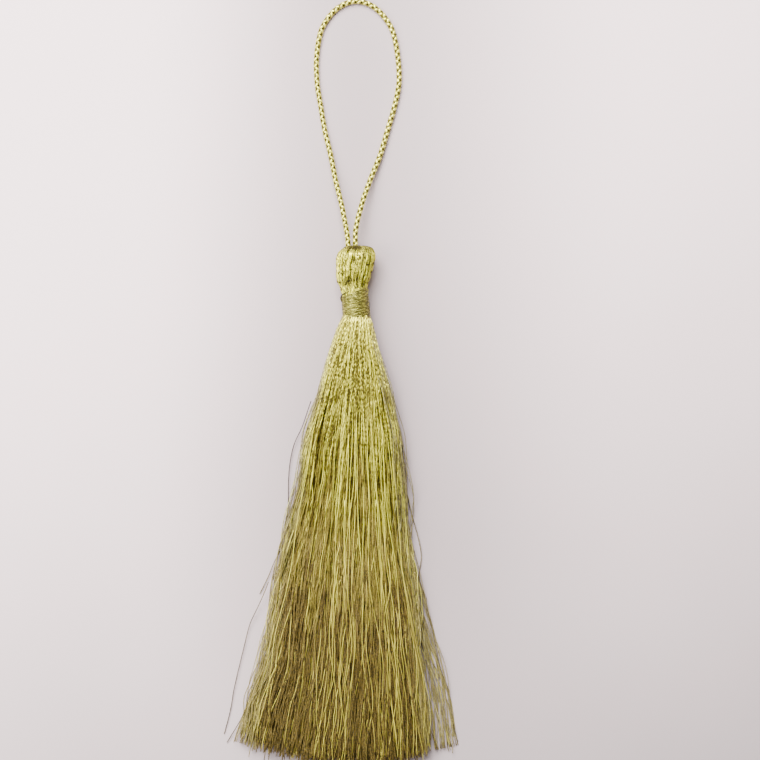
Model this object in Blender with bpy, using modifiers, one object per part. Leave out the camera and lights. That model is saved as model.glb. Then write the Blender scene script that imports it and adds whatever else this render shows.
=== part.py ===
"""A silk tassel with a braided hanging loop, lying on a table.

X runs across the tassel, +Y points from the skirt towards the loop, and +Z is up.
The origin is on the flat spot that the head rests on.
"""

import math

import bmesh
import bpy
import numpy as np

MM = 0.001

# The head and neck of the yarn bundle, in millimetres
AXIS_HEIGHT = 4.5
YARN_RIDGES = 24
RIDGE_HEIGHT = 0.10
NECK_RADIUS = 2.8
NECK_START = -0.10
NECK_LEAN = math.radians(5)
HEAD_END = -5.85
STEP_LENGTH = 0.05
# A row for each ring: its place along Y, the offset of its centre, its radius and its slant
HEAD_RINGS = (
    # y, centre, radius, slant in degrees
    (4.60, -0.75, 2.00, 0),
    (5.35, -0.60, 2.40, 0),
    (5.30, 0.10, 3.10, 0),
    (4.60, 0.60, 3.65, 0),
    (3.55, 0.40, 4.40, 0),
    (2.20, 0.15, 4.90, 0),
    (0.50, 0.00, 4.80, 0),
    (-1.20, -0.20, 4.70, 0),
    (-3.00, -0.45, 4.30, 2),
    (-4.60, -0.15, 3.85, 4),
    (HEAD_END + STEP_LENGTH, NECK_START, 3.55, 5),
    (HEAD_END, NECK_START, NECK_RADIUS, 5),
)

# The thread wound round the neck
GAP = 0.3
BINDING_TOP = HEAD_END - GAP
BINDING_LENGTH = 6.4
BINDING_RADIUS = 3.70
BINDING_FLARE = 0.12
BINDING_BORE = NECK_RADIUS + RIDGE_HEIGHT + GAP
BINDING_TURNS = 11
TURN_HEIGHT = 0.13
BINDING_STEPS = 24

# The skirt: its outline at each drop below the neck, the opening beside the split lock at its
# right, the height of its middle above the table, and how far it reaches over and under that
SKIRT_TOP = BINDING_TOP - BINDING_LENGTH * math.cos(NECK_LEAN) - GAP
SKIRT_SECTIONS = (
    # drop, left, right, opening, middle, over, under
    (0.0, -3.2, 4.2, 0.0, AXIS_HEIGHT, 3.60, 3.60),
    (7.0, -5.9, 5.6, 0.0, 4.40, 4.20, 4.20),
    (19.0, -9.9, 9.0, 0.0, 3.80, 4.80, 3.80),
    (30.0, -13.2, 11.5, 0.0, 2.40, 5.90, 2.40),
    (41.0, -15.2, 12.8, 0.0, 1.00, 7.00, 1.00),
    (52.0, -17.8, 14.3, 0.0, 0.00, 7.70, 0.00),
    (69.0, -21.4, 17.2, 0.0, 0.00, 7.40, 0.00),
    (90.0, -25.4, 22.0, 0.8, 0.00, 6.80, 0.00),
    (113.0, -31.0, 26.5, 2.3, 0.00, 5.80, 0.00),
)
LOCK_SHARE = 0.09
SECTION_POWER = 2.3
SECTION_EDGE = 0.96
ROOT_DROP = 7.0
ROOT_OVERLAP = 1.2
ROOT_INSET = 0.90
ROOT_INSET_END = 19.0
# A row for each ring of the skirt's solid top, where the strands are still packed together
CORE_RINGS = (
    # drop, slant in degrees
    (0.0, 5),
    (2.5, 2),
    (ROOT_DROP, 0),
)

# The strands, whose sites fill a section evenly at any ratio of its width to its height
STRANDS = 280
STRAND_LENGTH = 113.2
LENGTH_SPREAD = 1.4
STRAND_STATIONS = (ROOT_DROP - ROOT_OVERLAP, 19.0, 41.0, 69.0)
STRAND_RADIUS_DROPS = (ROOT_DROP, 19.0, 41.0, 69.0, 113.0)
STRAND_RADII = (0.18, 0.25, 0.29, 0.315, 0.36)
FLOOR_DROPS = (19.0, 41.0, 69.0)
FLOOR_SHARES = (0.0, 0.085, 0.14)
FLOOR_LAYER = 0.55
GOLDEN = (math.sqrt(5) - 1) / 2
FIRST_SITE = 0.1
SEED = 4

# The strand at the left edge strays from the skirt: how far out it lies at each drop
STRAY_DROPS = (19.0, 41.0, 69.0, 94.0, 113.0)
STRAY_OFFSETS = (0.0, 1.5, 2.4, 4.6, 4.2)
STRAY_LENGTH = 108.0

# The braided cord of the loop
CORD_CREST = 0.75
CORD_DIP = 0.60
CORD_SIDES = 8
BRAID_PITCH = 2.14
CURVE_STEPS = 16
LOOP_ROUTE = (
    # x, y, z
    (-1.65, 4.90, 4.50),
    (-1.75, 7.10, 4.46),
    (-2.25, 10.2, 4.15),
    (-3.45, 16.3, 3.00),
    (-4.95, 22.4, 1.85),
    (-6.15, 28.6, 1.10),
    (-7.60, 34.7, 0.76),
    (-8.65, 40.8, 0.70),
    (-9.60, 46.9, 0.70),
    (-9.80, 53.0, 0.70),
    (-9.00, 59.0, 0.70),
    (-7.70, 62.3, 0.70),
    (-5.40, 65.3, 0.70),
    (-2.60, 67.2, 0.70),
    (0.40, 67.9, 0.70),
    (3.50, 67.2, 0.70),
    (6.20, 65.3, 0.70),
    (8.60, 62.3, 0.70),
    (10.0, 59.0, 0.70),
    (11.0, 53.0, 0.70),
    (11.2, 46.9, 0.70),
    (10.0, 40.8, 0.70),
    (8.20, 34.7, 0.76),
    (6.40, 28.6, 1.10),
    (3.95, 22.4, 1.85),
    (1.85, 16.3, 3.00),
    (0.35, 10.2, 4.15),
    (0.15, 7.10, 4.46),
    (0.15, 4.90, 4.50),
)


def clear_scene():
    for thing in list(bpy.data.objects):
        bpy.data.objects.remove(thing)


def new_collection(name):
    collection = bpy.data.collections.new(name)
    bpy.context.scene.collection.children.link(collection)
    return collection


def new_material(name, colour, roughness, metallic):
    material = bpy.data.materials.new(name)
    material.use_nodes = True
    shader = material.node_tree.nodes["Principled BSDF"]
    shader.inputs["Base Color"].default_value = (*colour, 1)
    shader.inputs["Roughness"].default_value = roughness
    shader.inputs["Metallic"].default_value = metallic
    return material


def new_object(name, data, collection):
    thing = bpy.data.objects.new(name, data)
    collection.objects.link(thing)
    return thing


def hide_helper(thing):
    thing.hide_render = True
    thing.display_type = "WIRE"


def lofted_mesh(name, rings):
    """A closed skin over rings of points, in millimetres, with a flat face at each end."""
    bm = bmesh.new()
    loops = [[bm.verts.new([value * MM for value in point]) for point in ring] for ring in rings]
    for near, far in zip(loops, loops[1:]):
        for i in range(len(near)):
            j = (i + 1) % len(near)
            bm.faces.new((near[i], near[j], far[j], far[i]))
    bm.faces.new(loops[0][::-1])
    bm.faces.new(loops[-1])
    bmesh.ops.recalc_face_normals(bm, faces=bm.faces)
    mesh = bpy.data.meshes.new(name)
    bm.to_mesh(mesh)
    bm.free()
    return mesh


def skirt_section(drop):
    """The skirt's outline at a drop below the neck, read between the table's rows."""
    rows = np.array(SKIRT_SECTIONS)
    return [np.interp(drop, rows[:, 0], rows[:, column]) for column in range(1, rows.shape[1])]


def ridged_ring(y, centre, half, middle, over, under, slant):
    """One ring of the bundle, with points by turns on a yarn and between two, and none under the table."""
    ring = []
    count = 2 * YARN_RIDGES
    for i in range(count):
        angle = 2 * math.pi * i / count
        ridge = RIDGE_HEIGHT if i % 2 == 0 else -RIDGE_HEIGHT
        reach = over if math.cos(angle) > 0 else under
        across = (half + ridge) * math.sin(angle)
        z = middle + (reach + ridge) * math.cos(angle)
        ring.append((centre + across, y + across * math.tan(math.radians(slant)), max(z, 0.0)))
    return ring


def round_ring(y, centre, radius, slant):
    return ridged_ring(y, centre, radius, AXIS_HEIGHT, radius, radius, slant)


def neck_centre(y):
    return NECK_START + (HEAD_END - y) * math.tan(NECK_LEAN)


def bundle_rings():
    """Rings from the hollow in the head's top, down through the neck, to the roots of the strands."""
    rings = [round_ring(*row) for row in HEAD_RINGS]
    neck_end = SKIRT_TOP + STEP_LENGTH
    rings.append(round_ring(neck_end, neck_centre(neck_end), NECK_RADIUS, math.degrees(NECK_LEAN)))
    for drop, slant in CORE_RINGS:
        left, right, _, middle, over, under = skirt_section(drop)
        centre = (left + right) / 2
        rings.append(ridged_ring(SKIRT_TOP - drop, centre, right - centre, middle, over, under, slant))
    return rings


def section_chord(across):
    """How tall a section is at a place from -1 to 1 across it, as a share of its tallest."""
    return (1 - abs(SECTION_EDGE * across) ** SECTION_POWER) ** (1 / SECTION_POWER)


def share_to_width(share):
    """Turns a share of the section's area, counted from its left, into a place from -1 to 1 across it."""
    across = np.linspace(-1, 1, 401)
    area = np.cumsum(section_chord(across))
    return float(np.interp(share, area / area[-1], across))


def strand_point(across_share, height_share, drop):
    """Where a strand is at a drop: its shares of the section keep the strands apart all the way down."""
    left, right, opening, middle, over, under = skirt_section(drop)
    across = share_to_width(across_share)
    width_share = (across + 1) / 2
    x = left + (right - left - opening) * width_share
    if width_share > 1 - LOCK_SHARE:
        x += opening
    inset = np.interp(drop, (ROOT_DROP, ROOT_INSET_END), (ROOT_INSET, 1.0))
    centre = (left + right) / 2
    x = centre + (x - centre) * inset
    chord = section_chord(across) * inset
    radius = strand_radius(drop)
    low = max(middle - under * chord, 0.0) + radius / 2
    high = max(middle + over * chord - radius, low)
    # The lowest strands come to lie level on the table, with the others above them
    settled = np.interp(drop, FLOOR_DROPS, FLOOR_SHARES)
    if height_share < settled:
        return x, SKIRT_TOP - drop, low
    layer = min(FLOOR_LAYER, high - low) * settled / FLOOR_SHARES[-1]
    lifted = (height_share - settled) / (1 - settled)
    return x, SKIRT_TOP - drop, low + layer + (high - low - layer) * lifted


def strand_radius(drop):
    return float(np.interp(drop, STRAND_RADIUS_DROPS, STRAND_RADII))


def strand_routes():
    """A list of (points, radii) for every strand, root first and the strand at the left edge first."""
    rng = np.random.default_rng(SEED)
    routes = []
    for i in range(STRANDS):
        shares = (i + 0.5) / STRANDS, (i * GOLDEN + FIRST_SITE) % 1
        root = strand_point(*shares, 0.0)
        tip = strand_point(*shares, STRAND_LENGTH)
        slant = math.atan2(tip[0] - root[0], STRAND_LENGTH)
        end = STRAND_LENGTH * math.cos(slant) - LENGTH_SPREAD * rng.random()
        if i == 0:
            end = STRAY_LENGTH
        points = [strand_point(*shares, drop) for drop in (*STRAND_STATIONS, end)]
        if i == 0:
            points = [(x - stray_offset(y), y, z) for x, y, z in points]
        routes.append((points, [strand_radius(SKIRT_TOP - y) for _, y, _ in points]))
    return routes


def stray_offset(y):
    return np.interp(SKIRT_TOP - y, STRAY_DROPS, STRAY_OFFSETS)


def triangle_profile(collection):
    """The strands' cross-section: three sides of unit radius, flat underneath."""
    curve = bpy.data.curves.new("strand_profile", "CURVE")
    spline = curve.splines.new("POLY")
    spline.points.add(2)
    spline.use_cyclic_u = True
    for i, point in enumerate(spline.points):
        angle = math.radians(90 + 120 * i)
        point.co = (MM * math.cos(angle), MM * math.sin(angle), 0, 1)
    profile = new_object("strand_profile", curve, collection)
    hide_helper(profile)
    return profile


def strand_mesh(collection):
    """Every strand as one mesh of three-sided tubes that don't touch."""
    curve = bpy.data.curves.new("strands", "CURVE")
    curve.dimensions = "3D"
    curve.twist_mode = "Z_UP"
    curve.bevel_mode = "OBJECT"
    curve.bevel_object = triangle_profile(collection)
    curve.use_fill_caps = True
    for points, radii in strand_routes():
        spline = curve.splines.new("POLY")
        spline.points.add(len(points) - 1)
        for target, point, radius in zip(spline.points, points, radii):
            target.co = (*[value * MM for value in point], 1)
            target.radius = radius
    tubes = new_object("strand_tubes", curve, collection)
    bpy.context.view_layer.update()
    evaluated = tubes.evaluated_get(bpy.context.evaluated_depsgraph_get())
    mesh = bpy.data.meshes.new_from_object(evaluated)
    bpy.data.objects.remove(tubes)
    bm = bmesh.new()
    bm.from_mesh(mesh)
    bmesh.ops.remove_doubles(bm, verts=bm.verts, dist=1e-7)
    bmesh.ops.recalc_face_normals(bm, faces=bm.faces)
    bm.to_mesh(mesh)
    bm.free()
    return mesh


def make_yarn_bundle(collection, helpers, material):
    """The folded yarns, in one piece: the head, the neck and the skirt's strands."""
    bundle = new_object("yarn_bundle", lofted_mesh("yarn_bundle", bundle_rings()), collection)
    strands = new_object("strands", strand_mesh(helpers), helpers)
    hide_helper(strands)
    join = bundle.modifiers.new("strands", "BOOLEAN")
    join.operation = "UNION"
    join.solver = "EXACT"
    join.object = strands
    bundle.data.materials.append(material)
    return bundle


def make_binding(collection, material):
    """The thread wound round the neck: a turned ring with a ridge for each turn."""
    outer = []
    for i in range(2 * BINDING_TURNS + 1):
        share = i / (2 * BINDING_TURNS)
        crest = TURN_HEIGHT if i % 2 == 1 else 0.0
        radius = BINDING_RADIUS - TURN_HEIGHT + BINDING_FLARE * share + crest
        outer.append((radius, -share * BINDING_LENGTH))
    inner = [(BINDING_BORE, -BINDING_LENGTH), (BINDING_BORE, 0.0)]
    bm = bmesh.new()
    points = [bm.verts.new((radius * MM, 0, z * MM)) for radius, z in outer + inner]
    for start, end in zip(points, points[1:] + points[:1]):
        bm.edges.new((start, end))
    mesh = bpy.data.meshes.new("neck_binding")
    bm.to_mesh(mesh)
    bm.free()
    binding = new_object("neck_binding", mesh, collection)
    turn = binding.modifiers.new("turn", "SCREW")
    turn.axis = "Z"
    turn.steps = turn.render_steps = BINDING_STEPS
    turn.use_merge_vertices = True
    turn.merge_threshold = 1e-6
    binding.location = (neck_centre(BINDING_TOP) * MM, BINDING_TOP * MM, AXIS_HEIGHT * MM)
    binding.rotation_euler = (-math.pi / 2, 0, NECK_LEAN)
    binding.data.materials.append(material)
    return binding


def smooth_route(route):
    """Points a braid's half pitch apart on a smooth curve through the route's points."""
    points = np.array([route[0], *route, route[-1]])
    curve = []
    for before, start, end, after in zip(points, points[1:], points[2:], points[3:]):
        for t in np.arange(CURVE_STEPS) / CURVE_STEPS:
            curve.append(
                0.5 * (2 * start + (end - before) * t
                       + (2 * before - 5 * start + 4 * end - after) * t**2
                       + (3 * start - before - 3 * end + after) * t**3)
            )
    curve = np.array([*curve, points[-1]])
    along = np.concatenate(([0], np.cumsum(np.linalg.norm(np.diff(curve, axis=0), axis=1))))
    count = round(along[-1] / (BRAID_PITCH / 2)) + 1
    even = np.linspace(0, along[-1], count)
    return np.stack([np.interp(even, along, curve[:, axis]) for axis in range(3)], axis=1)


def loop_rings():
    """Rings along the loop. Each raises two opposite patches of the braid, by turns on either diagonal."""
    line = smooth_route(LOOP_ROUTE)
    ahead = np.gradient(line, axis=0)
    ahead /= np.linalg.norm(ahead, axis=1)[:, None]
    side = np.cross(ahead, (0, 0, 1))
    side /= np.linalg.norm(side, axis=1)[:, None]
    above = np.cross(side, ahead)
    middle = (CORD_CREST + CORD_DIP) / 2
    swing = (CORD_CREST - CORD_DIP) / 2
    rings = []
    for i, centre in enumerate(line):
        ring = []
        for j in range(CORD_SIDES):
            angle = 2 * math.pi * j / CORD_SIDES
            radius = middle + swing * math.sin(2 * angle) * (-1) ** i
            ring.append(centre + radius * (math.cos(angle) * side[i] + math.sin(angle) * above[i]))
        rings.append(ring)
    return rings


def make_hanging_loop(collection, material):
    loop = new_object("hanging_loop", lofted_mesh("hanging_loop", loop_rings()), collection)
    loop.data.materials.append(material)
    return loop


def main():
    clear_scene()
    tassel = new_collection("silk_tassel")
    helpers = new_collection("helpers")
    yarn = new_material("gold_yarn", (0.62, 0.55, 0.18), 0.38, 0.55)
    thread = new_material("binding_thread", (0.46, 0.40, 0.13), 0.42, 0.55)
    cord = new_material("braided_cord", (0.66, 0.60, 0.24), 0.36, 0.55)
    bundle = make_yarn_bundle(tassel, helpers, yarn)
    binding = make_binding(tassel, thread)
    loop = make_hanging_loop(tassel, cord)
    for thing in (bundle, binding, loop):
        thing.data.set_sharp_from_angle(angle=math.radians(40))


main()
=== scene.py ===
"""A gold silk tassel with a braided hanging loop, lying on a pale table.

X runs across the tassel, +Y points from the skirt towards the loop, and +Z is up.
Tables and sizes are in millimetres, and meshes are built in metres.
"""

import math

import bpy
import numpy as np
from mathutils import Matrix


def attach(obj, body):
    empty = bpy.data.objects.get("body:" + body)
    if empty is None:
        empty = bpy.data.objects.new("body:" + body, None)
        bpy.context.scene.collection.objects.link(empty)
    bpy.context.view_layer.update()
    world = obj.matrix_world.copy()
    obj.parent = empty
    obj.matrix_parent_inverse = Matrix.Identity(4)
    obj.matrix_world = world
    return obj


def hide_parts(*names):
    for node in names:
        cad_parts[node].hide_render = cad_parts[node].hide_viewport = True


MM = 0.001
TURN = 2 * math.pi
GOLDEN = (math.sqrt(5) - 1) / 2

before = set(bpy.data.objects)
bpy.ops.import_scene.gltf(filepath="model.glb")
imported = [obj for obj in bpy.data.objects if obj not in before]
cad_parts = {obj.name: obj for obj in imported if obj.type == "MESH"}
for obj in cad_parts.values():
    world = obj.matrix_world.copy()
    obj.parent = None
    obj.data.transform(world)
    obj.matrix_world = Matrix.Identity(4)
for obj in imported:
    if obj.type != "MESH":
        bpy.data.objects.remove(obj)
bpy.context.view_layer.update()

# The camera: the photo is 760 pixels across, and one pixel is this long
PIXEL = 0.255
PHOTO_SIDE = 760
PHOTO_CENTRE = (6.4, -28.6)
CAMERA_HEIGHT = 700.0
SENSOR = 36.0

# The studio, in metres and watts: how far the floor reaches each way, and the lights
FLOOR_REACH = 3.0
LIGHT_AIM = (0.0, -0.03, 0.0)
LIGHTS = (
    # name, place, size, energy
    ("window_light", (-0.13, 0.38, 0.50), 0.45, 20.0),
    ("side_light", (-0.42, -0.02, 0.46), 0.35, 5.0),
    ("fill_light", (0.60, -0.20, 1.20), 0.9, 2.5),
)
# The soft shadow painted on the table, in metres: where it starts, is deepest and ends, across and along
SHADE_ACROSS = (-0.058, 0.0, 0.078)
SHADE_ALONG = (-0.170, -0.050, 0.070, 0.180)
SHADE_DEPTH = 0.52

# The most triangles that a piece of threads may have, and the sides of each thread
PIECE_TRIANGLES = 190_000
THREAD_SIDES = 3
# How many threads have their strips side by side in a UV map
STRIPS_IN_ROW = 700

# The head and neck of the yarn bundle
AXIS_HEIGHT = 4.5
NECK_START = -0.10
NECK_LEAN = math.radians(5)
HEAD_END = -5.85
# A row for each ring: its place along Y, the offset of its centre and its outer radius
HEAD_RINGS = (
    # y, centre, radius
    (3.60, -0.70, 0.90),
    (4.60, -0.50, 1.20),
    (5.25, -0.10, 1.90),
    (5.10, 0.55, 3.00),
    (4.60, 0.80, 3.90),
    (3.55, 0.42, 4.73),
    (2.20, 0.28, 4.97),
    (0.50, 0.00, 4.73),
    (-1.20, -0.18, 4.50),
    (-3.00, -0.40, 4.20),
    (-4.60, -0.33, 3.60),
    (HEAD_END, NECK_START, 3.40),
    (-7.60, 0.05, 3.15),
)

# The head's yarns shine as those this far above the skirt
HEAD_DROP = -12.0
HEAD_STATIONS = 66
HEAD_FILAMENTS = 3
HEAD_LAYERS = (
    # yarns, how deep they lie
    (46, 0.34),
    (40, 0.80),
)
# Places on the front of the head where the folded yarns part, sink and are painted darker as shade
HEAD_HOLLOWS = (
    # x, y, half width, half length
    (-1.50, -3.60, 0.85, 1.50),
    (0.90, -3.20, 0.45, 1.60),
    (0.60, 4.90, 1.50, 0.70),
    (-0.20, 1.60, 0.35, 0.90),
)

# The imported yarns: how deep they lie in the head, their least radius, and their rings in the skirt
CORE_SIDES = 40
CORE_DEPTH = 1.05
CORE_LEAST = 0.2
CORE_DROPS = (0.0, 4.0, 8.0, 14.0, 20.0, 26.0)

# The thread wound round the neck
TURN_STEPS = 44
BINDING_BOTTOM = -12.5
BINDING_TOP = -6.1
BINDING_RADIUS = 3.34
# A dark ring of thread at the binding's lower edge, a painted shade where the binding meets the skirt
SHADE_RING_RADIUS = 0.13
THREAD_END_RADIUS = 0.20
BINDING_LAYERS = (
    # turns, radius, waver, thread radius
    (28, BINDING_RADIUS - 0.12, 0.05, 0.155),
    (17, BINDING_RADIUS - 0.02, 0.70, 0.135),
    (13, BINDING_RADIUS + 0.03, 1.00, 0.120),
)
THREAD_END = (
    # x, y, z
    (-2.20, -6.60, 7.00),
    (-2.90, -6.95, 6.40),
    (-3.35, -7.40, 5.60),
    (-3.50, -8.10, 5.00),
    (-3.20, -8.80, 4.70),
)

# The skirt: its outline at each drop below the neck, the opening beside the split lock at its
# right, the height of its middle above the table, and how far it reaches over and under that
SKIRT_TOP = -12.83
SKIRT_SECTIONS = (
    # drop, left, right, opening, middle, over, under
    (-3.0, -2.2, 2.9, 0.0, AXIS_HEIGHT, 2.60, 2.60),
    (0.0, -2.9, 3.7, 0.0, AXIS_HEIGHT, 3.20, 3.20),
    (1.2, -3.6, 4.2, 0.0, AXIS_HEIGHT, 3.70, 3.70),
    (7.0, -5.9, 5.6, 0.0, 4.40, 4.20, 4.20),
    (19.0, -9.9, 9.0, 0.0, 3.80, 4.80, 3.80),
    (30.0, -13.2, 11.5, 0.0, 2.40, 5.90, 2.40),
    (41.0, -15.2, 12.8, 0.0, 1.00, 7.00, 1.00),
    (52.0, -17.8, 14.3, 0.0, 0.00, 7.70, 0.00),
    (69.0, -21.4, 17.2, 0.0, 0.00, 7.40, 0.00),
    (90.0, -25.4, 22.0, 0.8, 0.00, 6.80, 0.00),
    (113.0, -31.0, 26.5, 2.3, 0.00, 5.80, 0.00),
)
# The split lock's share of the skirt's width, and of the yarns at the right edge those that stay
# in it. The others keep inside a limit, a place across the skirt up to 1, at each of these drops
LOCK_SHARE = 0.09
LOCK_KEPT = 0.20
LOCK_DROPS = (66, 85, 98, 113)
LOCK_LIMIT = (1.00, 0.818, 0.775, 0.815)
# The split lock lies low on the table: its share of the usual height at two drops
LOW_DROPS = (60, 95)
LOW_SHARE = (1.0, 0.4)
# How far the yarns near the edges keep back from the outline, and the dense ones more than that
SKIRT_INSETS = (
    # drop, left, right, left if dense, right if dense
    (3.0, 0.0, 0.0, 0.0, 0.0),
    (20.0, 0.9, 0.0, 0.3, 1.0),
    (35.0, 0.6, 0.0, 0.5, 1.7),
    (47.0, 1.6, 0.4, 0.6, 1.7),
    (60.0, 0.8, 1.4, 0.8, 1.4),
    (75.0, 1.4, 1.4, 0.7, 1.1),
    (92.0, 2.1, 0.9, 0.5, 0.7),
    (101.0, 1.2, 0.6, 0.4, 0.6),
    (113.0, 1.8, 0.9, 0.3, 0.3),
)
SECTION_POWER = 2.3
SECTION_EDGE = 0.985
STRAND_LENGTH = 111.8

# The yarns: a few filaments each, laid together at the top and loose lower down
YARNS = 520
YARN_REACH = 0.95
FILAMENT_RADIUS = 0.17
# How thick the filaments are at each drop. Those with a bright tone stand alone, thinner lower down
THICKNESS_DROPS = (0, 30, 70, 113)
THICKNESS = (1.08, 1.0, 0.84, 0.76)
SINGLE_TONE = 0.86
# Where the yarns begin to loosen, over what length, and how far they and their filaments wander
# sideways and up
LOOSE_START = 14
LOOSE_LENGTH = 55
YARN_WANDER = (0.70, 0.22)
FILAMENT_WANDER = (1.00, 0.30)
# How much shorter the yarns are at the left and in the split lock, and how their lengths vary
SHORTER_LEFT = 1.3
SHORTER_LOCK = 1.2
LENGTH_CHANGE = -0.2
LENGTH_SPREAD = 1.2
# The rim, with paler threads: where it starts on the way from the middle to the edge, and how wide
RIM_START = 0.83
RIM_WIDTH = 0.14
ROOT_DROP = -2.6
YARN_LAY = 9.0
LAY_OFFSET = 0.16
SEED = 11
# The yarns by their share of the pile's height, from the fine ones on top to those at the bottom
STEP_MARKS = (44, 60)
LAYERS = (
    # name, from, to, filaments, steps to the first mark, to the second and below that
    ("skirt_top", 0.72, 1.01, 3, (0.50, 0.80, 1.6)),
    ("skirt_middle", 0.40, 0.72, 3, (1.60, 1.60, 1.9)),
    ("skirt_bottom", -0.01, 0.40, 2, (2.90, 2.90, 3.6)),
)
FILL_THREADS = 330
FILL_REACH = 0.93
FILL_START = 46
FILL_STEP = 2.6
# Locks of yarns that draw together, with how many there are and how far they pull, and the share
# of that pull at each drop
LOCKS = ((34, 0.38), (120, 0.38))
PULL_DROPS = (9, 26, 62, 84, 113)
PULL_SHARE = (0.0, 1.0, 0.9, 0.35, 0.15)
# The share of the yarns that are single ones at the edges, and how far out they start, right and left
EDGE_SHARE = 0.055
EDGE_INNER = (0.80, 0.92)
EDGE_THREADS = 46
EDGE_RADIUS = 0.11
CROSSING_THREADS = 36
CROSSING_RADIUS = 0.12
CROSSING_SLANT = 0.985
STRAY_RADIUS = 0.125
STRAY_POINTS = 90

# Threads that stand out from the skirt, each as a row of places across and along
STRAYS = (
    ((-15.5, -60.0), (-17.9, -69.4), (-20.7, -75.5), (-22.4, -79.3), (-24.2, -83.1)),
    ((-17.0, -70.0), (-18.9, -74.5), (-20.4, -77.8), (-20.9, -79.6)),
    ((-22.0, -80.0), (-25.0, -87.0), (-27.2, -92.3), (-29.1, -100.2), (-30.8, -107.1),
     (-31.4, -111.2), (-33.3, -118.8)),
    ((-26.5, -108.0), (-29.1, -114.8), (-32.4, -120.9)),
    ((-11.0, -34.0), (-13.3, -40.0), (-15.6, -45.4), (-16.8, -52.8), (-17.1, -61.7), (-18.1, -69.4)),
    ((6.0, -27.0), (8.9, -33.7), (10.6, -38.5), (11.7, -43.4), (12.5, -50.5), (13.0, -57.1), (14.2, -61.2),
     (15.8, -67.8), (17.0, -73.7), (16.3, -78.3), (16.8, -80.8), (18.4, -84.7)),
    ((14.0, -70.0), (16.3, -78.8), (18.5, -87.5), (20.8, -97.2), (22.1, -103.0), (24.0, -108.6),
     (25.0, -115.8), (26.1, -120.9)),
)

# The braided cord of the loop
STRAND_RADIUS = 0.38
BRAID_RADIUS = 0.39
BRAID_RISE = 0.10
BRAID_LAY = 3.3
BRAID_STEP = 0.17
LOOP_ROUTE = (
    # x, y, z
    (-1.65, 4.90, 4.50),
    (-1.75, 7.10, 4.46),
    (-2.25, 10.2, 4.15),
    (-3.45, 16.3, 3.00),
    (-4.95, 22.4, 1.85),
    (-6.15, 28.6, 1.10),
    (-7.60, 34.7, 0.76),
    (-8.65, 40.8, 0.70),
    (-9.60, 46.9, 0.70),
    (-9.80, 53.0, 0.70),
    (-9.00, 59.0, 0.70),
    (-7.70, 62.3, 0.70),
    (-5.40, 65.3, 0.70),
    (-2.60, 67.2, 0.70),
    (0.40, 67.9, 0.70),
    (3.50, 67.2, 0.70),
    (6.20, 65.3, 0.70),
    (8.60, 62.3, 0.70),
    (10.0, 59.0, 0.70),
    (11.0, 53.0, 0.70),
    (11.2, 46.9, 0.70),
    (10.0, 40.8, 0.70),
    (8.20, 34.7, 0.76),
    (6.40, 28.6, 1.10),
    (3.95, 22.4, 1.85),
    (1.85, 16.3, 3.00),
    (0.35, 10.2, 4.15),
    (0.15, 7.10, 4.46),
    (0.15, 4.90, 4.50),
)

# Each yarn's colours. Pale and shade are painted highlight and painted shade along the threads
YARN_COLOURS = {
    # pale, gold, shade, dusk, brown
    "skirt_yarn": ((250, 244, 94), (196, 189, 64), (80, 70, 18), (96, 81, 22), (76, 59, 20)),
    "edge_yarn": ((238, 232, 146), (192, 184, 108), (116, 106, 62), (126, 112, 64), (90, 76, 46)),
    "neck_thread": ((196, 191, 88), (116, 111, 42), (56, 51, 14), (72, 64, 18), (72, 64, 18)),
    "stray_yarn": ((104, 98, 78), (80, 74, 58), (52, 46, 34), (66, 60, 48), (54, 48, 38)),
    "head_yarn": ((246, 240, 84), (180, 174, 62), (70, 62, 22), (112, 95, 26), (82, 64, 22)),
    # The packed yarns inside: a darker copy of the yarn, painted shade for the interior seen in the gaps
    "packed_yarn_shaded": ((118, 100, 34), (94, 78, 22), (56, 46, 8), (56, 46, 8), (50, 40, 8)),
}
SINGLE_TINT = (236, 216, 100)
RIM_TINT = (226, 222, 190)


def add_object(name, data):
    thing = bpy.data.objects.new(name, data)
    bpy.context.scene.collection.objects.link(thing)
    return thing


def make_camera():
    data = bpy.data.cameras.new("camera")
    data.sensor_width = SENSOR
    data.lens = SENSOR * CAMERA_HEIGHT / (PIXEL * PHOTO_SIDE)
    camera = add_object("camera", data)
    camera.location = (PHOTO_CENTRE[0] * MM, PHOTO_CENTRE[1] * MM, CAMERA_HEIGHT * MM)
    bpy.context.scene.camera = camera


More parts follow.
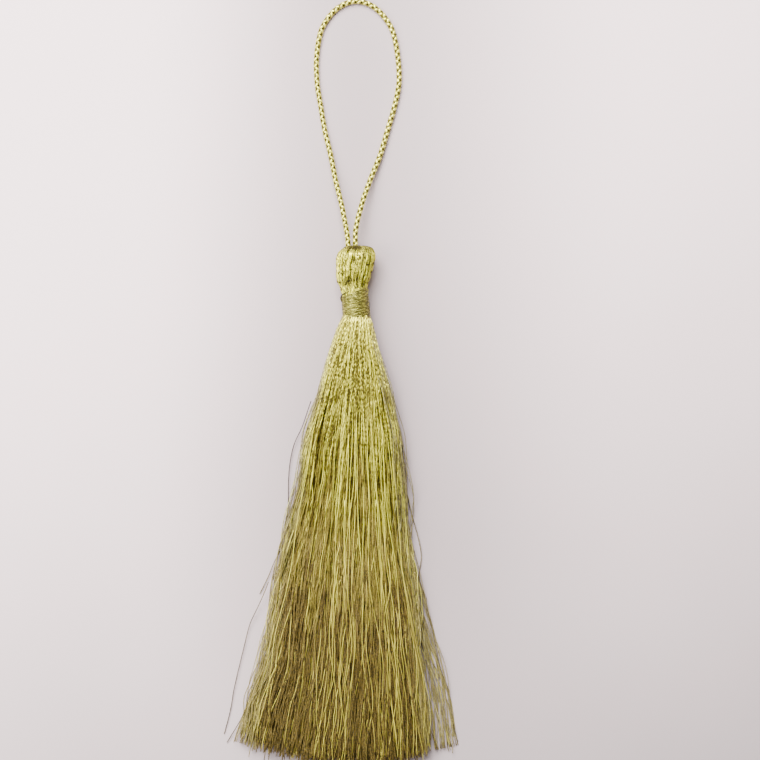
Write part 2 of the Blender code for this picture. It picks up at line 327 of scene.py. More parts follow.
class Nodes:
    """A material's node tree, with short ways to add the nodes that the yarns need."""

    def __init__(self, name):
        self.material = bpy.data.materials.new(name)
        self.material.use_nodes = True
        self.tree = self.material.node_tree
        self.shader = self.tree.nodes["Principled BSDF"]

    def add(self, kind, **values):
        node = self.tree.nodes.new(kind)
        for key, value in values.items():
            setattr(node, key, value)
        return node

    def plug(self, socket, value):
        if hasattr(value, "is_linked"):
            self.tree.links.new(value, socket)
        else:
            socket.default_value = value

    def attribute(self, name):
        return self.add("ShaderNodeAttribute", attribute_name=name).outputs["Fac"]

    def math(self, operation, first, second=0.0, third=0.0):
        node = self.add("ShaderNodeMath", operation=operation)
        for socket, value in zip(node.inputs, (first, second, third)):
            self.plug(socket, value)
        return node.outputs[0]

    def span(self, value, low, high, to_low=0.0, to_high=1.0):
        node = self.add("ShaderNodeMapRange", interpolation_type="SMOOTHSTEP")
        for socket, number in zip(node.inputs, (value, low, high, to_low, to_high)):
            self.plug(socket, number)
        return node.outputs["Result"]

    def mix(self, share, first, second):
        node = self.add("ShaderNodeMixRGB")
        for socket, value in zip(node.inputs, (share, first, second)):
            self.plug(socket, value)
        return node.outputs[0]

    def noise(self, vector, scale, detail=2.0):
        node = self.add("ShaderNodeTexNoise")
        self.plug(node.inputs["Vector"], vector)
        node.inputs["Scale"].default_value = scale
        node.inputs["Detail"].default_value = detail
        return node.outputs["Fac"]

    def vector(self, x, y, z):
        node = self.add("ShaderNodeCombineXYZ")
        for socket, value in zip(node.inputs, (x, y, z)):
            self.plug(socket, value)
        return node.outputs[0]

    def bump(self, height, strength, distance):
        node = self.add("ShaderNodeBump")
        node.inputs["Strength"].default_value = strength
        node.inputs["Distance"].default_value = distance
        self.plug(node.inputs["Height"], height)
        self.plug(self.shader.inputs["Normal"], node.outputs["Normal"])

    def wave(self, value, length, phase):
        turns = self.math("ADD", self.math("DIVIDE", value, length), phase)
        return self.math("SINE", self.math("MULTIPLY", turns, TURN))


def rgb(red, green, blue):
    """A colour in Blender's linear values, from one as it is seen on a screen."""
    return (*[(value / 255 / 12.92 if value < 11 else ((value / 255 + 0.055) / 1.055) ** 2.4)
              for value in (red, green, blue)], 1.0)


def yarn_material(name, painted_glints=1.0, grain=1.0, flecks=1.25):
    """Metallic thread with small painted glints along it. Threads differ, and the skirt is browner lower
    down.

    Its pale, gold and shade colours go from bright to dark: painted highlight and painted shade along each
    thread, over a tone that differs at random between threads. It turns to dusk half way down the skirt, and
    to brown near the ends, where single bright threads keep their own tint.
    """
    pale, gold, shade, dusk, brown = [rgb(*colour) for colour in YARN_COLOURS[name]]
    nodes = Nodes(name)
    tone = nodes.attribute("tone")
    along = nodes.attribute("along")
    drop = nodes.attribute("drop")
    # Painted glints and painted shade: how bright the thread is at each place along it
    place = nodes.vector(along, nodes.math("MULTIPLY", tone, 97.0), 0.0)
    streak = nodes.noise(place, 0.28, 1.0)
    crumb = nodes.noise(place, grain, 1.0)
    painted_glint_and_bump = nodes.math("MULTIPLY", nodes.wave(along, 1.15, nodes.math("MULTIPLY", tone, 37.0)), painted_glints)
    painted_glint_and_bump = nodes.math("MULTIPLY", painted_glint_and_bump, nodes.span(drop, 15.0, 70.0, 0.20, 0.05))
    level = nodes.math("MULTIPLY_ADD", tone, nodes.span(drop, 18.0, 50.0, 0.75, 1.20), painted_glint_and_bump)
    level = nodes.math("MULTIPLY_ADD", streak, 1.30, level)
    level = nodes.math("MULTIPLY_ADD", nodes.math("SUBTRACT", crumb, 0.5), flecks, level)
    level = nodes.math("ADD", level, nodes.span(drop, -12.0, 10.0, 0.945, 0.625))
    level = nodes.math("ADD", level, nodes.span(drop, 15.0, 50.0, 0.0, -0.30))
    single = nodes.span(tone, 0.84, 0.93, 1.0, 0.08)
    standing = nodes.math("SUBTRACT", 1.0, single)
    standing = nodes.math("MULTIPLY", standing, nodes.span(drop, 15.0, 50.0, 0.0, 0.45))
    level = nodes.math("ADD", level, standing)
    # Patches, each of which turns dusky and then brown at its own depth
    axes = nodes.add("ShaderNodeSeparateXYZ")
    nodes.plug(axes.inputs[0], nodes.add("ShaderNodeTexCoord").outputs["Object"])
    patch_x = nodes.math("MULTIPLY", axes.outputs["X"], 280.0)
    patch_y = nodes.math("MULTIPLY", axes.outputs["Y"], 75.0)
    patch = nodes.noise(nodes.vector(patch_x, patch_y, 0.0), 1.0, 1.0)
    depth = nodes.math("MULTIPLY_ADD", patch, 70.0, drop)
    lower = nodes.span(depth, 74.0, 116.0)
    rim = nodes.attribute("rim")
    lower = nodes.math("MULTIPLY", lower, nodes.span(rim, 0.0, 1.0, 1.0, 0.45))
    plain = nodes.math("MULTIPLY", lower, single)
    lift = nodes.math("MULTIPLY", nodes.span(drop, -8.0, 0.0), nodes.span(drop, 5.0, 45.0, 0.06, 0.0))
    # The colour: from shade to pale by brightness, which is painted shade and highlight, with dusk, brown
    # and the rim's tint over it
    colour = nodes.mix(nodes.math("MAXIMUM", nodes.span(level, 1.40, 1.85), lift), shade, gold)
    colour = nodes.mix(nodes.span(level, 1.85, 2.25), colour, pale)
    dim = nodes.math("MULTIPLY", nodes.span(depth, 46.0, 84.0, 0.0, 0.76), single)
    speck = nodes.span(nodes.noise(place, 2.3, 2.0), 0.38, 0.62)
    bright = nodes.math("MULTIPLY", lower, nodes.span(speck, 0.0, 1.0, 0.40, 0.95))
    faded = nodes.mix(bright, nodes.mix(dim, colour, dusk), rgb(*SINGLE_TINT))
    dark_earth = [value * 0.50 for value in brown[:3]] + [1.0]
    light_earth = [value * 1.9 for value in brown[:3]] + [1.0]
    earth = nodes.mix(speck, dark_earth, light_earth)
    colour = nodes.mix(nodes.math("MULTIPLY", plain, 0.92), faded, earth)
    colour = nodes.mix(nodes.math("MULTIPLY", rim, 0.10), colour, rgb(*RIM_TINT))
    nodes.plug(nodes.shader.inputs["Base Color"], colour)
    nodes.plug(nodes.shader.inputs["Metallic"], nodes.span(plain, 0.0, 1.0, 0.75, 0.35))
    nodes.plug(nodes.shader.inputs["Roughness"], nodes.span(level, 1.2, 2.0, 0.52, 0.31))
    nodes.bump(nodes.math("ADD", painted_glint_and_bump, crumb), 0.7, 0.08 * MM)
    return nodes.material


def cord_material(name, pale, gold, shade):
    """The braid's strands, with painted highlight and painted shade: bright where they come to the top, dark
    where they dive under and towards their sides.
    """
    nodes = Nodes(name)
    tone = nodes.attribute("tone")
    along = nodes.attribute("along")
    over = nodes.attribute("over")
    inward = nodes.attribute("inward")
    place = nodes.vector(along, nodes.math("MULTIPLY", inward, 3.0), nodes.math("MULTIPLY", tone, 50.0))
    fine = nodes.noise(place, 2.2)
    # Painted shade: darker where the strand dives under the others and on its sides, away from its crest
    level = nodes.math("MULTIPLY_ADD", fine, 1.1, over)
    level = nodes.math("MULTIPLY_ADD", inward, -1.5, level)
    colour = nodes.mix(nodes.span(level, 0.45, 1.00), shade, gold)
    colour = nodes.mix(nodes.span(level, 1.05, 1.55), colour, pale)
    nodes.plug(nodes.shader.inputs["Base Color"], colour)
    nodes.shader.inputs["Metallic"].default_value = 0.70
    nodes.shader.inputs["Roughness"].default_value = 0.34
    nodes.bump(fine, 0.4, 0.06 * MM)
    return nodes.material


def floor_material():
    """A pale table with painted shade: darker away from the window, and a wide soft painted shadow along the
    tassel.
    """
    nodes = Nodes("pale_table")
    place = nodes.add("ShaderNodeTexCoord").outputs["Object"]
    axes = nodes.add("ShaderNodeSeparateXYZ")
    nodes.plug(axes.inputs[0], place)
    x, y = axes.outputs["X"], axes.outputs["Y"]
    # Painted shade: the table's colour darkens with the distance from the window light
    away = nodes.math("MULTIPLY_ADD", x, 0.30, nodes.math("MULTIPLY", y, -1.0))
    cloud = nodes.noise(place, 9.0, 3.0)
    grain = nodes.noise(place, 700.0, 3.0)
    away = nodes.math("MULTIPLY_ADD", cloud, 0.05, away)
    colour = nodes.mix(nodes.span(away, -0.03, 0.265), rgb(241, 218, 218), rgb(131, 121, 121))
    # A wide soft shadow painted along the tassel: the table's colour is mixed towards black
    left, middle, right = SHADE_ACROSS
    bottom, low, high, top = SHADE_ALONG
    from_left = nodes.span(x, left, middle)
    from_right = nodes.span(x, middle, right, 1.0, 0.0)
    from_below = nodes.span(y, bottom, low)
    from_above = nodes.span(y, high, top, 1.0, 0.0)
    shade = nodes.math("MULTIPLY", nodes.math("MULTIPLY", from_left, from_right), SHADE_DEPTH)
    shade = nodes.math("MULTIPLY", shade, nodes.math("MULTIPLY", from_below, from_above))
    colour = nodes.mix(shade, colour, rgb(0, 0, 0))
    nodes.plug(nodes.shader.inputs["Base Color"], colour)
    nodes.shader.inputs["Roughness"].default_value = 0.75
    nodes.bump(grain, 0.15, 0.05 * MM)
    return nodes.material


def make_stage():
    reach = FLOOR_REACH
    corners = [(-reach, -reach, 0), (reach, -reach, 0), (reach, reach, 0), (-reach, reach, 0)]
    mesh = bpy.data.meshes.new("floor")
    mesh.from_pydata(corners, [], [(0, 1, 2, 3)])
    mesh.materials.append(floor_material())
    floor = add_object("floor", mesh)

    world = bpy.data.worlds.new("studio")
    world.use_nodes = True
    background = world.node_tree.nodes["Background"]
    background.inputs["Color"].default_value = rgb(252, 251, 255)
    background.inputs["Strength"].default_value = 0.30
    bpy.context.scene.world = world

    for name, place, size, energy in LIGHTS:
        data = bpy.data.lights.new(name, "AREA")
        data.size = size
        data.energy = energy
        light = add_object(name, data)
        light.location = place
        aim = np.array(LIGHT_AIM) - place
        tilt = math.acos(-aim[2] / np.linalg.norm(aim))
        light.rotation_euler = (tilt, 0, math.atan2(aim[1], aim[0]) - math.pi / 2)


def unit(vectors):
    return vectors / np.linalg.norm(vectors, axis=-1, keepdims=True)


def tube_piece(name, paths, radii, sides, ups, material, flatten=1.0, **values):
    """Many tubes as one mesh. paths is (tubes, points, 3), and each tube is closed at both ends.

    Each of the values becomes an attribute that the material reads.
    """
    tubes, points = paths.shape[:2]
    ahead = unit(np.gradient(paths, axis=1))
    side = unit(np.cross(ahead, ups))
    above = np.cross(side, ahead)
    angles = TURN * (np.arange(sides) / sides + 0.25)
    radii = np.broadcast_to(radii, (tubes, points))[..., None, None]
    rings = (
        paths[:, :, None]
        + radii * np.cos(angles)[:, None] * side[:, :, None]
        + radii * flatten * np.sin(angles)[:, None] * above[:, :, None]
    )
    first = (np.arange(tubes)[:, None, None] * points + np.arange(points - 1)[None, :, None]) * sides
    column = np.arange(sides)
    following = (column + 1) % sides
    quads = np.stack(
        [first + column, first + sides + column, first + sides + following, first + following], axis=-1
    )
    starts = np.arange(tubes)[:, None] * points * sides
    root_caps = starts + column
    tip_caps = starts + (points - 1) * sides + column[::-1]

    mesh = bpy.data.meshes.new(name)
    mesh.vertices.add(tubes * points * sides)
    mesh.vertices.foreach_set("co", (rings * MM).astype(np.float32).ravel())
    corners = np.concatenate((quads.ravel(), root_caps.ravel(), tip_caps.ravel()))
    totals = np.concatenate((np.full(quads.size // 4, 4), np.full(2 * tubes, sides)))
    mesh.loops.add(len(corners))
    mesh.loops.foreach_set("vertex_index", corners.astype(np.int32))
    mesh.polygons.add(len(totals))
    mesh.polygons.foreach_set("loop_start", np.concatenate(([0], np.cumsum(totals)[:-1])).astype(np.int32))
    mesh.polygons.foreach_set("use_smooth", np.ones(len(totals), bool))
    mesh.update(calc_edges=True)

    steps = np.linalg.norm(np.diff(paths, axis=1), axis=-1)
    along = np.concatenate((np.zeros((tubes, 1)), np.cumsum(steps, axis=1)), axis=1)
    for title, value in {"along": along, "drop": 0.0, "rim": 0.0, **values}.items():
        attribute = mesh.attributes.new(title, "FLOAT", "POINT")
        spread = np.repeat(np.broadcast_to(value, along.shape).ravel(), sides)
        attribute.data.foreach_set("value", spread.astype(np.float32))
    inward = mesh.attributes.new("inward", "FLOAT", "POINT")
    inward_share = 0.5 - 0.5 * np.cos(TURN * column / sides)
    inward.data.foreach_set("value", np.tile(inward_share, tubes * points).astype(np.float32))

    lay_out_strips(mesh, tubes, points, sides)
    mesh.materials.append(material)
    mesh.validate()
    return add_object(name, mesh)


def lay_out_strips(mesh, tubes, points, sides):
    """A UV map with a strip for each tube, as long as the map divided by the rows of strips."""
    rows = max(1, round(tubes / STRIPS_IN_ROW))
    columns = math.ceil(tubes / rows)
    margin = 0.12
    tube = np.arange(tubes)
    left = tube % columns / columns
    bottom = tube // columns / rows
    across = (margin + (1 - 2 * margin) * np.arange(sides + 1) / sides) / columns
    upward = (0.01 + 0.98 * np.arange(points) / (points - 1)) / rows
    u = left[:, None, None] + np.broadcast_to(across, (points - 1, sides + 1))[None]
    low = bottom[:, None, None] + np.broadcast_to(upward[:-1, None], (points - 1, sides))[None]
    high = bottom[:, None, None] + np.broadcast_to(upward[1:, None], (points - 1, sides))[None]
    near, far = u[..., :-1], u[..., 1:]
    pairs = ((near, low), (near, high), (far, high), (far, low))
    quads = np.stack([np.stack(pair, axis=-1) for pair in pairs], axis=3)
    caps = []
    for level in (0, 1):
        angles = TURN * np.arange(sides) / sides
        cap_u = left[:, None] + (0.5 + 0.3 * np.cos(angles)) / columns
        cap_v = bottom[:, None] + (0.005 + 0.99 * level + 0.004 * np.sin(angles)) / rows
        caps.append(np.stack([cap_u, cap_v], axis=-1))
    flat = np.concatenate([quads.ravel()] + [cap.ravel() for cap in caps])
    layer = mesh.uv_layers.new(name="OFBake")
    layer.data.foreach_set("uv", flat.astype(np.float32))


def finish_piece(piece, slot, *nodes):
    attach(piece, "root")
    if nodes:
        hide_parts(*nodes)


def drift(rng, count, drops, longest, shortest, waves=3):
    """Smooth sideways wandering, about 1 at its widest: a few long waves for each thread."""
    total = np.zeros((count, drops.shape[-1]))
    for _ in range(waves):
        length = rng.uniform(shortest, longest, (count, 1))
        phase = rng.uniform(0, TURN, (count, 1))
        total += np.sin(TURN * drops / length + phase)
    return total / math.sqrt(waves)


def crinkle(rng, count, drops):
    """The small kinks of metallic yarn."""
    return drift(rng, count, drops, 2.6, 1.6, 2)


def read_table(table, drops, columns):
    """Reads columns of a table between its rows. The first column is the drop."""
    rows = np.array(table)
    return [np.interp(drops, rows[:, 0], rows[:, k]) for k in columns]


def section_chord(across):
    return (1 - np.abs(SECTION_EDGE * across) ** SECTION_POWER) ** (1 / SECTION_POWER)


def share_to_width(share):
    """Turns a share of the section's area, counted from its left, into a place from -1 to 1 across it."""
    across = np.linspace(-1, 1, 401)
    area = np.cumsum(section_chord(across))
    return np.interp(share, area / area[-1], across)


def skirt_place(across, height, drops):
    """Where threads are at their drops, from their places across the skirt and up its pile.

    Across goes from -1 to 1, and up from 0 to 1.
    """
    left, right, opening, middle, over, under = read_table(SKIRT_SECTIONS, drops, range(1, 7))
    width_share = (across + 1) / 2
    x = left + (right - left - opening) * width_share + opening * (width_share > 1 - LOCK_SHARE)
    chord = section_chord(np.clip(across, -1, 1))
    low = np.maximum(middle - under * chord, 0.0)
    high = middle + over * chord
    return x, low + (high - low) * height


def draw_into_locks(across, height, x, z, drops, spread):
    """Neighbours draw together part of the way down, which opens dark slits between the locks."""
    for count, strength in LOCKS:
        lock_across = share_to_width((np.arange(count) + 0.5) / count)
        lock_height = (np.arange(count) * GOLDEN + 0.3) % 1
        far = ((across - lock_across) * 2.2) ** 2 + (height - lock_height) ** 2
        nearest = far.argmin(axis=1)
        lock_x, lock_z = skirt_place(lock_across[nearest, None], lock_height[nearest, None], spread)
        pull = strength * np.interp(drops, PULL_DROPS, PULL_SHARE)
        x = x + (lock_x - x) * pull
        z = z + (lock_z - z) * pull * 0.6
    return x, z


def keep_back(across, dense, drops):
    """How far threads lie towards the skirt's middle, so that wandering ones stay inside its outline."""
    left, right, dense_left, dense_right = read_table(SKIRT_INSETS, drops, range(1, 5))
    side = np.clip(np.abs(across) * 1.4 - 0.2, 0, 1)
    return side * np.where(across > 0, -right - dense * dense_right, left + dense * dense_left)


def skirt_threads(rng, across, height, dense, split, drops, filaments):
    """Centre lines of the filaments of some yarns, with the drops, radii, tones and rim shares of each.

    The dense yarns keep back from the skirt's edges, where only single ones lie, and those in the
    split lock lie low on the table.
    """
    yarns = len(across)
    across, height, dense, split = across[:, None], height[:, None], dense[:, None], split[:, None]
    drops = np.broadcast_to(drops, (yarns, len(drops)))
    root_x, _ = skirt_place(across, height, drops[:, :1])
    tip_x, _ = skirt_place(across, height, drops[:, -1:])
    slant = np.cos(np.arctan2(tip_x - root_x, STRAND_LENGTH))
    grown = np.clip(drops / STRAND_LENGTH, 0, 1)
    loose = np.clip((drops - LOOSE_START) / LOOSE_LENGTH, 0, 1) ** 1.2

    limit = np.interp(drops, LOCK_DROPS, LOCK_LIMIT)
    held = np.minimum(across * np.clip(limit / YARN_REACH, 0, 1), limit)
    kept = np.where(split | (across < 0), across, held)
    x, z = skirt_place(kept, height, drops * slant)
    x, z = draw_into_locks(across, height, x, z, drops, drops * slant)
    x = x + keep_back(across, dense, drops)
    x = x + drift(rng, yarns, drops, 90, 34) * YARN_WANDER[0] * grown**1.2
    z = z * np.where(split, np.interp(drops, LOW_DROPS, LOW_SHARE), 1.0)
    z = z + drift(rng, yarns, drops, 60, 24) * YARN_WANDER[1] * grown

    paths, tones, lengths = [], [], []
    shorter = SHORTER_LEFT * np.clip((-across[:, 0] - 0.35) / 0.3, 0, 1) + SHORTER_LOCK * split[:, 0]
    turns = drops / YARN_LAY * (1 - 0.5 * grown)
    start = rng.uniform(0, 1, (yarns, 1))
    for k in range(filaments):
        angle = TURN * (turns + start + k / filaments)
        offset = LAY_OFFSET * (1 + 1.2 * loose)
        fx = x + offset * np.cos(angle) + drift(rng, yarns, drops, 100, 34) * FILAMENT_WANDER[0] * loose
        fz = z + offset * np.sin(angle) + drift(rng, yarns, drops, 60, 24) * FILAMENT_WANDER[1] * loose
        fx += drift(rng, yarns, drops, 14, 6, 2) * (0.03 + 0.06 * loose)
        fx += crinkle(rng, yarns, drops) * 0.035
        fz += crinkle(rng, yarns, drops) * 0.050
        paths.append(np.stack([fx, SKIRT_TOP - drops * slant, fz], axis=-1))
        tones.append(np.where(dense[:, 0], rng.uniform(0, 1, yarns), rng.uniform(0.55, 1, yarns)))
        lengths.append(STRAND_LENGTH - shorter + rng.normal(LENGTH_CHANGE, LENGTH_SPREAD, yarns))
    paths = np.concatenate(paths)
    drops = np.tile(drops, (filaments, 1))
    paths = cut_to_length(paths, drops, np.concatenate(lengths))
    tones = np.concatenate(tones)
    radii = FILAMENT_RADIUS * np.interp(drops, THICKNESS_DROPS, THICKNESS)
    thinner = np.interp(drops, (40, 75), (1.0, 0.80))
    radii = radii * np.where(tones[:, None] > SINGLE_TONE, thinner, 1.0)
    paths[..., 2] = np.maximum(paths[..., 2], radii)
    rim = np.clip((np.abs(across[:, 0]) - RIM_START) / RIM_WIDTH, 0, 1)
    return paths, drops, radii, tones, np.tile(rim, filaments)


def cut_to_length(paths, drops, lengths):
    """Moves each thread's last points so that it ends at its own length."""
    change = ((lengths - STRAND_LENGTH) / STRAND_LENGTH)[:, None]
    scale = np.interp(drops, (70, STRAND_LENGTH), (0, 1)) * change
    paths = paths.copy()
    paths[..., 1] -= scale * drops
    return paths


def add_thread_pieces(name, paths, drops, radii, tones, rims, material):
    """Threads as a few meshes, each of fewer triangles than a piece may have."""
    batch = PIECE_TRIANGLES // (paths.shape[1] * 2 * THREAD_SIDES)
    for number, start in enumerate(range(0, len(paths), batch), 1):
        some = slice(start, start + batch)
        piece = tube_piece(
            f"{name}_{number}", paths[some], radii[some], THREAD_SIDES, (0, 0, 1), material,
            drop=drops[some], tone=tones[some, None], rim=rims[some, None],
        )
        finish_piece(piece, "gold_yarn", "yarn_bundle")


def make_skirt(material):
    rng = np.random.default_rng(SEED)
    index = np.arange(YARNS)
    across = share_to_width((index + 0.5) / YARNS) * YARN_REACH
    height = (index * GOLDEN + 0.1) % 1
    edge = rng.uniform(0, 1, YARNS) < EDGE_SHARE
    inner = np.where(across > 0, *EDGE_INNER)
    across = np.where(edge, np.sign(across) * rng.uniform(inner, 1.03), across)
    height = np.where(edge, height * 0.5 + 0.4, height)
    split = edge & (across > 0) & (rng.uniform(0, 1, YARNS) < LOCK_KEPT)
    for name, low, high, filaments, steps in LAYERS:
        group = np.flatnonzero((height >= low) & (height < high))
        marks = (ROOT_DROP, *STEP_MARKS, STRAND_LENGTH)
        stretches = [np.arange(*part) for part in zip(marks, marks[1:], steps)]
        drops = np.concatenate(stretches + [[STRAND_LENGTH]])
        threads = skirt_threads(
            rng, across[group], height[group], ~edge[group], split[group], drops, filaments
        )
        add_thread_pieces(name, *threads, material)

    # Loose threads that fill the lower part, under those on top
    index = np.arange(FILL_THREADS)
    across = share_to_width((index + 0.5) / FILL_THREADS) * FILL_REACH
    height = 0.50 + 0.42 * ((index * GOLDEN + 0.37) % 1)
    drops = np.append(np.arange(FILL_START, STRAND_LENGTH, FILL_STEP), STRAND_LENGTH)
    inside = np.ones(FILL_THREADS, bool)
    threads = skirt_threads(rng, across, height, inside, ~inside, drops, 1)
    add_thread_pieces("skirt_fill", *threads, material)


def make_crossing_threads(material):
    """Single threads on top of the skirt that run a little aslant over the others."""
    rng = np.random.default_rng(SEED + 3)
    count = CROSSING_THREADS
    first = rng.uniform(-0.85, 0.85, count)
    last = np.clip(first + rng.normal(0, 0.13, count), -0.95, 0.80)
    drops = np.concatenate((np.arange(12, 60, 1.2), np.linspace(60, STRAND_LENGTH, 34)))
    drops = np.broadcast_to(drops, (count, len(drops)))
    share = np.clip((drops - 14) / 90, 0, 1)
    above = 0.86 + 0.15 * np.clip((drops - 12) / 20, 0, 1)
    start_x, start_z = skirt_place(first[:, None], above, drops)
    end_x, end_z = skirt_place(last[:, None], above, drops)
    x = start_x + (end_x - start_x) * share + drift(rng, count, drops, 70, 26) * 0.9 * share
    z = start_z + (end_z - start_z) * share + drift(rng, count, drops, 30, 12) * 0.15
    paths = np.stack([x, SKIRT_TOP - drops * CROSSING_SLANT, z], axis=-1)
    paths = cut_to_length(paths, drops, STRAND_LENGTH + rng.normal(-2.0, 2.0, count))
    tones = rng.uniform(0.78, 1.0, count)
    radii = np.full(drops.shape, CROSSING_RADIUS)
    add_thread_pieces("crossing_threads", paths, drops, radii, tones, np.zeros(count), material)


def make_strays(material, edge_material):
    """The dark threads that stand out from the skirt, and the pale single ones at its edges."""
    rng = np.random.default_rng(SEED + 4)
    paths, drops = [], []
    for route in STRAYS:
        levels = np.interp(np.arange(len(route)), (0, 1.5, len(route) - 1), (2.6, 0.9, 0.35))
        line = smooth_line([(x, y, z) for (x, y), z in zip(route, levels)], 10)
        even = np.linspace(0, len(line) - 1, STRAY_POINTS)
        path = np.stack([np.interp(even, np.arange(len(line)), line[:, k]) for k in range(3)], axis=1)
        path[:, 0] += drift(rng, 1, even / 4, 9, 4)[0] * 0.10
        paths.append(path)
        drops.append(SKIRT_TOP - path[:, 1])
    paths, drops = np.array(paths), np.array(drops)
    radii, tones = np.full(drops.shape, STRAY_RADIUS), np.full(len(paths), 0.3)
    add_thread_pieces("stray_threads", paths, drops, radii, tones, np.zeros(len(paths)), material)

    count = EDGE_THREADS
    side = np.where(np.arange(count) % 3, 1.0, -1.0)
    across = side * rng.uniform(np.where(side > 0, *EDGE_INNER), 1.04)
    stations = np.concatenate((np.arange(3, 60, 1.4), np.linspace(60, STRAND_LENGTH, 30)))
    drops = np.broadcast_to(stations, (count, len(stations)))
    x, z = skirt_place(across[:, None], rng.uniform(0.3, 0.9, (count, 1)), drops)
    x = x + keep_back(across[:, None], False, drops)
    z = z * np.where(side[:, None] > 0, np.interp(drops, LOW_DROPS, LOW_SHARE), 1.0)
    x = x + drift(rng, count, drops, 60, 18) * 0.8 * np.clip(drops / 50, 0, 1)
    z = np.maximum(z + drift(rng, count, drops, 30, 12) * 0.4, 0.12)
    slant = np.cos(np.arctan2(np.abs(x[:, -1:]), STRAND_LENGTH))
    paths = np.stack([x, SKIRT_TOP - drops * slant, z], axis=-1)
    radii, tones = np.full(drops.shape, EDGE_RADIUS), rng.uniform(0.0, 1.0, count)
    add_thread_pieces("edge_threads", paths, drops, radii, tones, np.ones(count), edge_material)


def head_profile(count):
    """Evenly spaced rows of the head's outline: y, centre, radius."""
    rows = smooth_line(HEAD_RINGS, 24)
    along = np.concatenate(([0], np.cumsum(np.linalg.norm(np.diff(rows, axis=0), axis=1))))
    even = np.linspace(0, along[-1], count)
    return np.stack([np.interp(even, along, rows[:, k]) for k in range(3)], axis=1), along[-1]


def smooth_line(route, steps):
    """Points on a smooth curve through the route's points."""
    points = np.array([route[0], *route, route[-1]])
    t = (np.arange(steps) / steps)[:, None]
    curve = [
        0.5 * (2 * start + (end - before) * t
               + (2 * before - 5 * start + 4 * end - after) * t**2
               + (3 * start - before - 3 * end + after) * t**3)
        for before, start, end, after in zip(points, points[1:], points[2:], points[3:])
    ]
    return np.concatenate([*curve, points[-1:]])


def make_head(material):
    """Yarns folded over the cord: two layers of them over the head and down into the neck."""
    rng = np.random.default_rng(SEED + 1)
    profile, length = head_profile(HEAD_STATIONS)
    y, centre, radius = profile.T
    along = np.linspace(0, length, HEAD_STATIONS)
    paths, tones = [], []
    for layer, (yarns, depth) in enumerate(HEAD_LAYERS):
        # Painted shade: yarns darker near the top, where they bend down into the hollow round the cord
        rim = np.interp(y, (3.5, 4.5), (0.0, 0.62))
        base = TURN * (np.arange(yarns) + rng.uniform(-0.3, 0.3, yarns) + 0.5 * layer) / yarns
        angle = base[:, None] + drift(rng, yarns, along, 30, 12) * 0.04
        sunk = depth + drift(rng, yarns, along, 22, 7) * 0.12
        start = rng.uniform(0, 1, (yarns, 1))
        for k in range(HEAD_FILAMENTS):
            lay = TURN * (along / YARN_LAY + start + k / HEAD_FILAMENTS)
            r = radius - sunk + 0.15 * np.cos(lay) + crinkle(rng, yarns, along) * 0.05
            sideways = 0.18 * np.sin(lay) + crinkle(rng, yarns, along) * 0.04
            swing = angle + sideways / np.maximum(radius, 1.0)
            tone = rng.uniform(0.15, 1, (yarns, 1)) - rim
            for hollow_x, hollow_y, half_width, half_length in HEAD_HOLLOWS:
                reach = np.exp(-(((y - hollow_y) / half_length) ** 2)) * (np.cos(swing) > 0)
                off = (radius * np.sin(swing) + centre - hollow_x) / half_width
                swing = swing + 0.55 * half_width * off * np.exp(-(off**2)) * reach / radius
                r = r - 0.60 * np.exp(-(off**2)) * reach
                # Painted shade: yarns darker where they part in the hollows
                tone = tone - 1.1 * np.exp(-(off**2)) * reach
            x = centre + r * np.sin(swing)
            z = AXIS_HEIGHT + r * np.cos(swing)
            paths.append(np.stack([x, np.broadcast_to(y, x.shape), np.maximum(z, FILAMENT_RADIUS)], axis=-1))
            tones.append(tone)
    paths = np.concatenate(paths)
    middle = np.stack([centre, y, np.full(HEAD_STATIONS, AXIS_HEIGHT)], axis=-1)
    out = paths - middle
    out[..., 1] = 0.02
    head = tube_piece(
        "head_yarns", paths, FILAMENT_RADIUS * 1.1, THREAD_SIDES, unit(out), material,
        tone=np.concatenate(tones), drop=HEAD_DROP,
    )
    finish_piece(head, "gold_yarn", "yarn_bundle")
    return profile


def make_core(profile, material):
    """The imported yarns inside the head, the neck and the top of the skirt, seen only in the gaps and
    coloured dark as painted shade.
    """
    sides = CORE_SIDES
    rows = []
    for y, x, radius in profile:
        inner = max(radius - CORE_DEPTH, CORE_LEAST)
        rows.append((y, x, inner, AXIS_HEIGHT, inner))
    for drop in CORE_DROPS:
        left, right, middle, over, under = read_table(SKIRT_SECTIONS, drop, (1, 2, 4, 5, 6))
        fill = 0.66 - drop * 0.008
        wide, tall = (right - left) / 2 * fill, min(over, under) * fill
        rows.append((SKIRT_TOP - drop, (left + right) / 2, wide, middle, tall))
    angles = TURN * np.arange(sides) / sides
    rings = [
        np.stack([x + wide * np.sin(angles), np.full(sides, y), z + tall * np.cos(angles)], axis=-1)
        for y, x, wide, z, tall in rows
    ]
    faces = [
        (i * sides + j, i * sides + (j + 1) % sides, (i + 1) * sides + (j + 1) % sides, (i + 1) * sides + j)
        for i in range(len(rings) - 1)
        for j in range(sides)
    ]
    faces.append(tuple(range(sides))[::-1])
    faces.append(tuple(range((len(rings) - 1) * sides, len(rings) * sides)))
    mesh = bpy.data.meshes.new("yarn_core")
    mesh.from_pydata((np.concatenate(rings) * MM).tolist(), [], faces)
    mesh.materials.append(material)
    mesh.shade_smooth()
    finish_piece(add_object("yarn_core", mesh), "gold_yarn", "yarn_bundle")


def neck_centre(y):
    return NECK_START + (HEAD_END - y) * math.tan(NECK_LEAN)


def round_neck(angle, y, radius):
    """Points round the neck at their angles and places along Y, and the points of its axis beside them."""
    centre = neck_centre(y)
    path = np.stack([centre + radius * np.sin(angle), y, AXIS_HEIGHT + radius * np.cos(angle)], axis=-1)
    axis = np.stack([centre, y, np.full(len(angle), AXIS_HEIGHT)], axis=-1)
    return path, axis


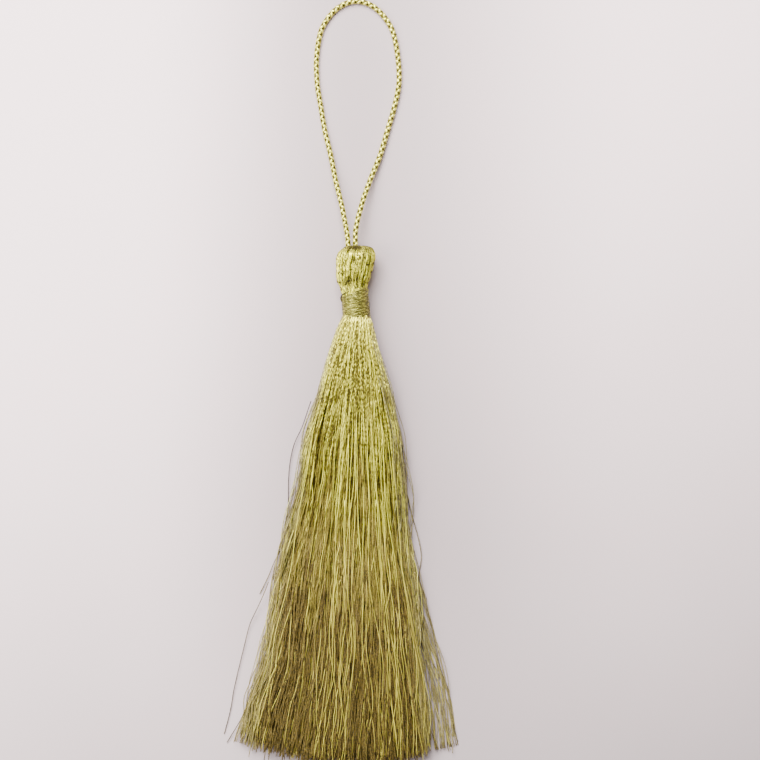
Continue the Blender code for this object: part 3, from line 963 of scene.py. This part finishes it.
def make_binding(material, end_material):
    """Layers of one thread wound round the neck. The turns slant at the top and level out below."""
    rng = np.random.default_rng(SEED + 2)
    for number, (turns, radius, waver, thickness) in enumerate(BINDING_LAYERS, 1):
        t = np.arange(turns * TURN_STEPS + 1) / TURN_STEPS
        angle = TURN * t
        share = t / turns
        slant = np.interp(share, (0, 0.45, 1), (1.35, 0.60, 0.05))
        wobble = (drift(rng, 1, t, 5.0, 1.3)[0] * 0.35 + drift(rng, 1, t, 0.9, 0.3)[0] * 0.40) * waver
        y = BINDING_TOP + (BINDING_BOTTOM - BINDING_TOP + 0.3) * share - 0.30
        y = y + slant * np.sin(angle) + wobble * np.sin(math.pi * share) ** 0.5
        r = radius + drift(rng, 1, t, 1.2, 0.4)[0] * 0.05 + 0.12 * share
        path, axis = round_neck(angle, y, r)
        tone = 0.5 + 0.20 * drift(rng, 1, t, 3.0, 0.6) + 0.30 * drift(rng, 1, t, 0.16, 0.07)
        turn = tube_piece(
            f"neck_turns_{number}", path[None], thickness, 5, unit(path - axis)[None], material, tone=tone
        )
        finish_piece(turn, "binding_thread", "neck_binding")

    # Painted shade: a dark ring of thread along the binding's lower edge, where its shadow falls on the
    # skirt
    angle = TURN * np.arange(TURN_STEPS + 1) / TURN_STEPS
    y = BINDING_BOTTOM + 0.06 * np.sin(angle) + drift(rng, 1, angle, 3.0, 1.0)[0] * 0.06
    path, _ = round_neck(angle, y, BINDING_RADIUS - 0.02)
    ring = tube_piece("neck_shade_ring", path[None], SHADE_RING_RADIUS, 5, (0, 1, 0), end_material, tone=0.2)
    finish_piece(ring, "binding_thread", "neck_binding")

    line = smooth_line(THREAD_END, 8)
    end = tube_piece("neck_thread_end", line[None], THREAD_END_RADIUS, 6, (0, 0, 1), end_material, tone=0.2)
    finish_piece(end, "binding_thread", "neck_binding")


def make_loop(material):
    """A round braid: two strands turn each way, and each passes over and under by turns."""
    line = smooth_line(LOOP_ROUTE, 30)
    along = np.concatenate(([0], np.cumsum(np.linalg.norm(np.diff(line, axis=0), axis=1))))
    even = np.linspace(0, along[-1], round(along[-1] / BRAID_STEP))
    line = np.stack([np.interp(even, along, line[:, k]) for k in range(3)], axis=1)
    ahead = unit(np.gradient(line, axis=0))
    side = unit(np.cross(ahead, (0, 0, 1)))
    above = np.cross(side, ahead)
    paths, over = [], []
    for way in (1, -1):
        for k in range(2):
            angle = TURN * (way * even / BRAID_LAY + k / 2 + (0 if way == 1 else 0.25))
            rise = way * np.sin(2 * angle)
            r = BRAID_RADIUS + BRAID_RISE * rise
            paths.append(line + (r * np.cos(angle))[:, None] * side + (r * np.sin(angle))[:, None] * above)
            over.append(0.5 + 0.5 * rise)
    paths = np.stack(paths)
    tone = np.array([0.15, 0.4, 0.65, 0.9])[:, None]
    loop = tube_piece(
        "loop_braid", paths, STRAND_RADIUS, 8, unit(paths - line), material,
        flatten=0.75, over=np.stack(over), tone=tone,
    )
    finish_piece(loop, "braided_cord", "hanging_loop")


def main():
    make_camera()
    # The cord's colours: a painted highlight, gold and a painted shade
    make_loop(cord_material("cord_braid", rgb(252, 247, 112), rgb(176, 169, 66), rgb(104, 97, 36)))
    make_stage()
    yarn = yarn_material("skirt_yarn", flecks=1.9)
    edge = yarn_material("edge_yarn")
    thread = yarn_material("neck_thread", painted_glints=0.3, grain=1.5, flecks=2.6)
    stray = yarn_material("stray_yarn")
    head = yarn_material("head_yarn", grain=1.3, flecks=3.4)
    core = yarn_material("packed_yarn_shaded")
    make_core(make_head(head), core)
    make_binding(thread, stray)
    make_skirt(yarn)
    make_crossing_threads(yarn)
    make_strays(stray, edge)


main()
